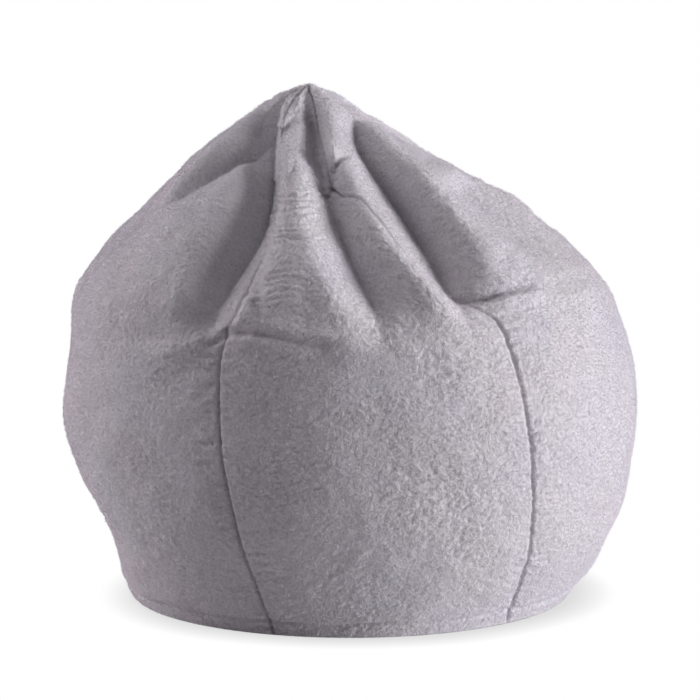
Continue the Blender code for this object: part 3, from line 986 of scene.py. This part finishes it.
def zip_slider(name, node, body, material):
    """The CAD slider with its edges rounded off and its sides drawn in towards the closed end."""
    source = bpy.data.objects[node]
    mesh = source.data.copy()
    mesh.transform(source.matrix_world)
    xs = [vertex.co.x for vertex in mesh.vertices]
    start, end = min(xs), max(xs)
    for vertex in mesh.vertices:
        if abs(vertex.co.y) > SLIDER_FLANK:
            share = (vertex.co.x - start) / (end - start)
            vertex.co.y -= math.copysign(SLIDER_TAPER * share, vertex.co.y)
    mesh.materials.clear()
    mesh.materials.append(material)
    obj = add_object(name, mesh)
    rounding = obj.modifiers.new("rounding", "BEVEL")
    rounding.width = SLIDER_ROUND
    rounding.segments = 2
    rounding.limit_method = "ANGLE"
    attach(obj, body)
    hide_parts(node)


def build_zips(tape, coil, metal):
    for prefix, title in (("cover_zip_", "outer_zip_"), ("liner_zip_", "inner_zip_")):
        for place in ("front", "back"):
            zip_tape(title + "woven_tape_" + place, prefix + "tape_" + place, tape)
            zip_coil(title + "wire_coil_" + place, prefix + "coil_" + place, coil)
        body = prefix.replace("zip_", "slider")
        zip_slider(title + "metal_slider", prefix + "slider", body, metal)
        for place in ("top", "bottom"):
            stop = bpy.data.objects[prefix + place + "_stop"]
            stop.data.materials.clear()
            stop.data.materials.append(metal)


# ---- materials ----

def connect(value, socket):
    """Set a socket to a number or a colour, or link another node's output to it."""
    if isinstance(value, (int, float)):
        socket.default_value = value
    elif isinstance(value, tuple):
        socket.default_value = (*value, 1)
    else:
        socket.id_data.links.new(value, socket)


def add_node(tree, kind, inputs, output, **settings):
    """A new node with its settings made and its inputs set or linked; returns one of its outputs."""
    node = tree.nodes.new("ShaderNode" + kind)
    for name, value in settings.items():
        setattr(node, name, value)
    for key, value in inputs.items():
        connect(value, node.inputs[key])
    return node.outputs[output]


def start_material(name, colour, roughness, **more):
    """A new material, its node tree and its shader's inputs."""
    made = bpy.data.materials.new(name)
    made.use_nodes = True
    inputs = made.node_tree.nodes["Principled BSDF"].inputs
    connect(colour, inputs["Base Color"])
    connect(roughness, inputs["Roughness"])
    for key, value in more.items():
        connect(value, inputs[key.replace("_", " ")])
    return made, made.node_tree, inputs


def place_node(tree):
    """Position on the object in metres."""
    return add_node(tree, "TexCoord", {}, "Object")


def noise_node(tree, place, size, detail=2.0):
    """Noise from 0 to 1 with features of a size in metres."""
    return add_node(tree, "TexNoise", {"Scale": 1 / size, "Detail": detail, "Vector": place}, "Fac")


def ramp_node(tree, value, stops):
    """Colours between two stops, each a value and the colour there."""
    node = tree.nodes.new("ShaderNodeValToRGB")
    for element, (at, colour) in zip(node.color_ramp.elements, stops):
        element.position = at
        element.color = (*colour, 1)
    connect(value, node.inputs["Fac"])
    return node.outputs["Color"]


def math_node(tree, operation, first, second):
    return add_node(tree, "Math", {0: first, 1: second}, 0, operation=operation)


def bump_node(tree, height, depth, before=None):
    """Bump of a depth in metres, laid over an earlier bump."""
    inputs = {"Strength": 1.0, "Distance": depth, "Height": height}
    if before is not None:
        inputs["Normal"] = before
    return add_node(tree, "Bump", inputs, "Normal")


def vary_roughness(tree, value, low, high):
    """Let a value from 0 to 1 set the roughness, between a low and a high one."""
    spread_out = add_node(tree, "MapRange", {"To Min": low, "To Max": high, "Value": value}, "Result")
    connect(spread_out, tree.nodes["Principled BSDF"].inputs["Roughness"])


# The darker tuft tone is partly the pile's own tone and partly painted shade, for the shade deep in the pile
# between tufts
PLUSH_DARK_AND_GAP_SHADE = (0.50, 0.465, 0.505)
PLUSH_LIGHT = (0.70, 0.665, 0.72)
PLUSH_WARM = (0.685, 0.640, 0.685)
PLUSH_COOL = (0.655, 0.635, 0.695)
PILE_GAIN = 1.22             # hairs are this much paler than the cloth under them, whose colour holds painted shade of the hairs shading each other
TONE_DRIFT = 0.11            # size of the patches of warm and cool tone
TUFT_CONTRAST = 0.5          # share of the paler and darker tufts in the colour; the darker tufts are partly painted shade
NAP_SIZE = 0.0016            # the finest bump of the cloth, and its depth
NAP_DEPTH = 0.0014
TUFT_BUMP = 0.0018


def plush_colours(tree, place, gain):
    """Lilac grey that drifts between a warm and a cool tone, with paler and darker tufts; the darker tufts
    are partly painted shade, for the shade deep in the pile between tufts.
    """
    tones = (PLUSH_DARK_AND_GAP_SHADE, PLUSH_LIGHT, PLUSH_WARM, PLUSH_COOL)
    dark, light, warm, cool = [tuple(min(gain * part, 1) for part in tone) for tone in tones]
    drift = ramp_node(tree, noise_node(tree, place, TONE_DRIFT), ((0.38, warm), (0.62, cool)))
    tufts = ramp_node(tree, noise_node(tree, place, HAIR_TUFT), ((0.33, dark), (0.60, light)))
    return add_node(tree, "Mix", {0: TUFT_CONTRAST, 6: drift, 7: tufts}, 2, data_type="RGBA")


def plush_material():
    """The cloth that the pile stands in; it has the pile's tufts as bump, at the sizes a camera can see."""
    made, tree, inputs = start_material("plush", PLUSH_LIGHT, 0.95, Specular_IOR_Level=0.12,
                                        Sheen_Weight=0.30, Sheen_Roughness=0.45)
    place = place_node(tree)
    # the cloth's colour is darker than the hairs': it holds the painted shade that the hairs cast on each
    # other
    connect(plush_colours(tree, place, 1.0), inputs["Base Color"])
    tufts = bump_node(tree, noise_node(tree, place, TUFT_SIZE), TUFT_BUMP)
    connect(bump_node(tree, noise_node(tree, place, NAP_SIZE), NAP_DEPTH, tufts), inputs["Normal"])
    vary_roughness(tree, noise_node(tree, place, 0.01), 0.85, 1.0)
    return made


def pile_material():
    made, tree, inputs = start_material("pile", PLUSH_LIGHT, 0.9, Specular_IOR_Level=0.05)
    connect(plush_colours(tree, place_node(tree), PILE_GAIN), inputs["Base Color"])
    return made


WAVE_SPACING = 0.314         # spacing of the wave node's bands where its scale is 1


def wave_node(tree, place, size, direction):
    """Ribs across an axis, from 0 to 1, with a spacing in metres."""
    inputs = {"Scale": WAVE_SPACING / size, "Distortion": 0.4, "Vector": place}
    return add_node(tree, "TexWave", inputs, "Fac", bands_direction=direction)


def woven_material(name, dark, light, thread, depth, roughness):
    """Plain weave: threads along X and Y that pass over and under each other."""
    made, tree, inputs = start_material(name, light, roughness, Specular_IOR_Level=0.25)
    place = place_node(tree)
    across, along = [wave_node(tree, place, thread, direction) for direction in ("X", "Y")]
    ribs = math_node(tree, "MULTIPLY", across, along)
    tone = math_node(tree, "ADD", math_node(tree, "MULTIPLY", ribs, 0.6),
                     math_node(tree, "MULTIPLY", noise_node(tree, place, 0.03, 3.0), 0.5))
    connect(ramp_node(tree, tone, ((0.15, dark), (0.75, light))), inputs["Base Color"])
    connect(bump_node(tree, ribs, depth), inputs["Normal"])
    vary_roughness(tree, noise_node(tree, place, 0.01), roughness - 0.08, min(roughness + 0.08, 1.0))
    return made


BEAD_SIZE = 0.005
BEAD_WHITE = (0.93, 0.93, 0.92)
# Tone at the edge of each bead: painted shade in the gaps between packed beads
BEAD_GAP_SHADE = (0.62, 0.62, 0.61)


def bead_material():
    """Foam beads, packed so that the edge of each one shows as a fine dark line of painted shade."""
    made, tree, inputs = start_material("foam_beads", BEAD_WHITE, 0.7)
    cells = add_node(tree, "TexVoronoi", {"Scale": 1 / BEAD_SIZE, "Vector": place_node(tree)}, "Distance")
    dome = math_node(tree, "SUBTRACT", 1.0, cells)
    connect(ramp_node(tree, dome, ((0.2, BEAD_GAP_SHADE), (0.7, BEAD_WHITE))), inputs["Base Color"])
    connect(bump_node(tree, dome, 0.002), inputs["Normal"])
    vary_roughness(tree, cells, 0.6, 0.85)
    return made


def nylon_material():
    made, tree, inputs = start_material("zip_nylon", (0.42, 0.40, 0.43), 0.42)
    place = place_node(tree)
    stops = ((0.3, (0.38, 0.36, 0.39)), (0.7, (0.46, 0.44, 0.47)))
    connect(ramp_node(tree, noise_node(tree, place, 0.004), stops), inputs["Base Color"])
    vary_roughness(tree, noise_node(tree, place, 0.002), 0.35, 0.5)
    return made


def metal_material():
    """Nickel-plated zinc with fine wear."""
    made, tree, inputs = start_material("zip_nickel", (0.62, 0.62, 0.63), 0.32, Metallic=1.0)
    wear = noise_node(tree, place_node(tree), 0.0015, 4.0)
    stops = ((0.35, (0.52, 0.52, 0.53)), (0.65, (0.68, 0.68, 0.69)))
    connect(ramp_node(tree, wear, stops), inputs["Base Color"])
    connect(bump_node(tree, wear, 0.00003), inputs["Normal"])
    vary_roughness(tree, wear, 0.24, 0.42)
    return made


# ---- stage ----

WHITE = (1, 1, 1)
WORLD_LIGHT = 0.03
FLOOR_SIZE = 30.0            # half the floor's width
FLOOR_DROP = 0.0005
SHADE_REACH = 0.08           # how far the bag darkens the floor around it
SHADE_START = 0.25           # how open the floor is at its darkest tone, and where it turns white
SHADE_END = 0.75
SHADE_TONE = 0.72            # the floor's darkest tone


def mix_shaders(tree, share, first, second):
    return add_node(tree, "MixShader", {"Fac": share, 1: first, 2: second}, "Shader")


def floor_material():
    """A floor that lights the bag as pale card would, and that looks white but for a soft contact shadow."""
    made, tree, _ = start_material("floor", (0.5, 0.5, 0.5), 0.9)
    openness = add_node(tree, "AmbientOcclusion", {"Distance": SHADE_REACH}, "AO")
    tone = add_node(tree, "MapRange", {"From Min": SHADE_START, "From Max": SHADE_END, "To Min": SHADE_TONE,
                                       "Value": openness}, "Result")
    seen = add_node(tree, "Emission", {"Strength": tone}, "Emission")
    card = tree.nodes["Principled BSDF"].outputs["BSDF"]
    above = mix_shaders(tree, add_node(tree, "LightPath", {}, "Is Camera Ray"), card, seen)
    clear = add_node(tree, "BsdfTransparent", {}, "BSDF")
    both = mix_shaders(tree, add_node(tree, "NewGeometry", {}, "Backfacing"), above, clear)
    connect(both, tree.nodes["Material Output"].inputs["Surface"])
    return made


def build_floor():
    corners = [(x * FLOOR_SIZE, y * FLOOR_SIZE, 0) for x, y in ((-1, -1), (1, -1), (1, 1), (-1, 1))]
    floor = add_mesh("floor", corners, [(0, 1, 2, 3)], floor_material(), smooth=False)
    floor.location.z = -FLOOR_DROP
    floor.visible_shadow = False


def build_world():
    """A faint light from all round; the camera sees it as white."""
    world = bpy.data.worlds.new("studio")
    bpy.context.scene.world = world
    world.use_nodes = True
    tree = world.node_tree
    light = tree.nodes["Background"]
    connect(WHITE, light.inputs["Color"])
    connect(WORLD_LIGHT, light.inputs["Strength"])
    seen = add_node(tree, "Background", {"Color": WHITE}, "Background")
    camera = add_node(tree, "LightPath", {}, "Is Camera Ray")
    both = mix_shaders(tree, camera, light.outputs["Background"], seen)
    connect(both, tree.nodes["World Output"].inputs["Surface"])
    bpy.context.scene.view_settings.view_transform = "Standard"


def aim(obj, azimuth, elevation):
    """Turn an object to look at the bag from an azimuth and an elevation; returns the way out to it."""
    a, e = math.radians(azimuth), math.radians(elevation)
    out = Vector((math.sin(a) * math.cos(e), -math.cos(a) * math.cos(e), math.sin(e)))
    obj.rotation_euler = (-out).to_track_quat("-Z", "Y").to_euler()
    return out


# Name, azimuth, elevation, width of the source in degrees, strength and colour of each light
SUNS = (
    ("key", 80, 9, 34, 3.5, WHITE),
    ("low", 84, -18, 50, 1.5, WHITE),
    ("top", 10, 76, 50, 0.5, WHITE),
    ("left", -104, 30, 50, 1.6, (1, 0.97, 0.98)),
    ("rim", -125, -4, 60, 2.0, (1.0, 0.93, 0.95)),
)


def build_lights():
    for name, azimuth, elevation, softness, strength, colour in SUNS:
        light = bpy.data.lights.new(name, "SUN")
        light.angle = math.radians(softness)
        light.energy = strength
        light.color = colour
        aim(add_object(name, light), azimuth, elevation)


CAMERA_DISTANCE = 3.8
CAMERA_ELEVATION = 7.0
CAMERA_HEIGHT = 0.366
VIEW_WIDTH = 1.060


def build_camera():
    camera = bpy.data.cameras.new("camera")
    camera.lens = camera.sensor_width * CAMERA_DISTANCE / VIEW_WIDTH
    obj = add_object("camera", camera)
    obj.location = Vector((0, 0, CAMERA_HEIGHT)) + CAMERA_DISTANCE * aim(obj, 0, CAMERA_ELEVATION)
    bpy.context.scene.camera = obj


build_camera()
build_floor()
build_world()
build_lights()

outer, panels = build_cover(plush_material())
build_pile(outer, panels, pile_material())
liner_cloth = woven_material("liner_weave", (0.70, 0.70, 0.68), (0.84, 0.84, 0.82), 0.002, 0.0003, 0.85)
base_weave = woven_material("base_weave", (0.22, 0.205, 0.23), (0.36, 0.34, 0.37), 0.0026, 0.0008, 0.88)
tape_weave = woven_material("tape_weave", (0.26, 0.245, 0.27), (0.38, 0.36, 0.39), 0.0012, 0.0003, 0.85)
build_liner(liner_cloth)
build_beads(bead_material())
build_bases(base_weave, liner_cloth)
build_stitches(woven_material("thread", (0.40, 0.38, 0.41), (0.52, 0.50, 0.53), 0.0008, 0.0001, 0.7))
build_zips(tape_weave, nylon_material(), metal_material())
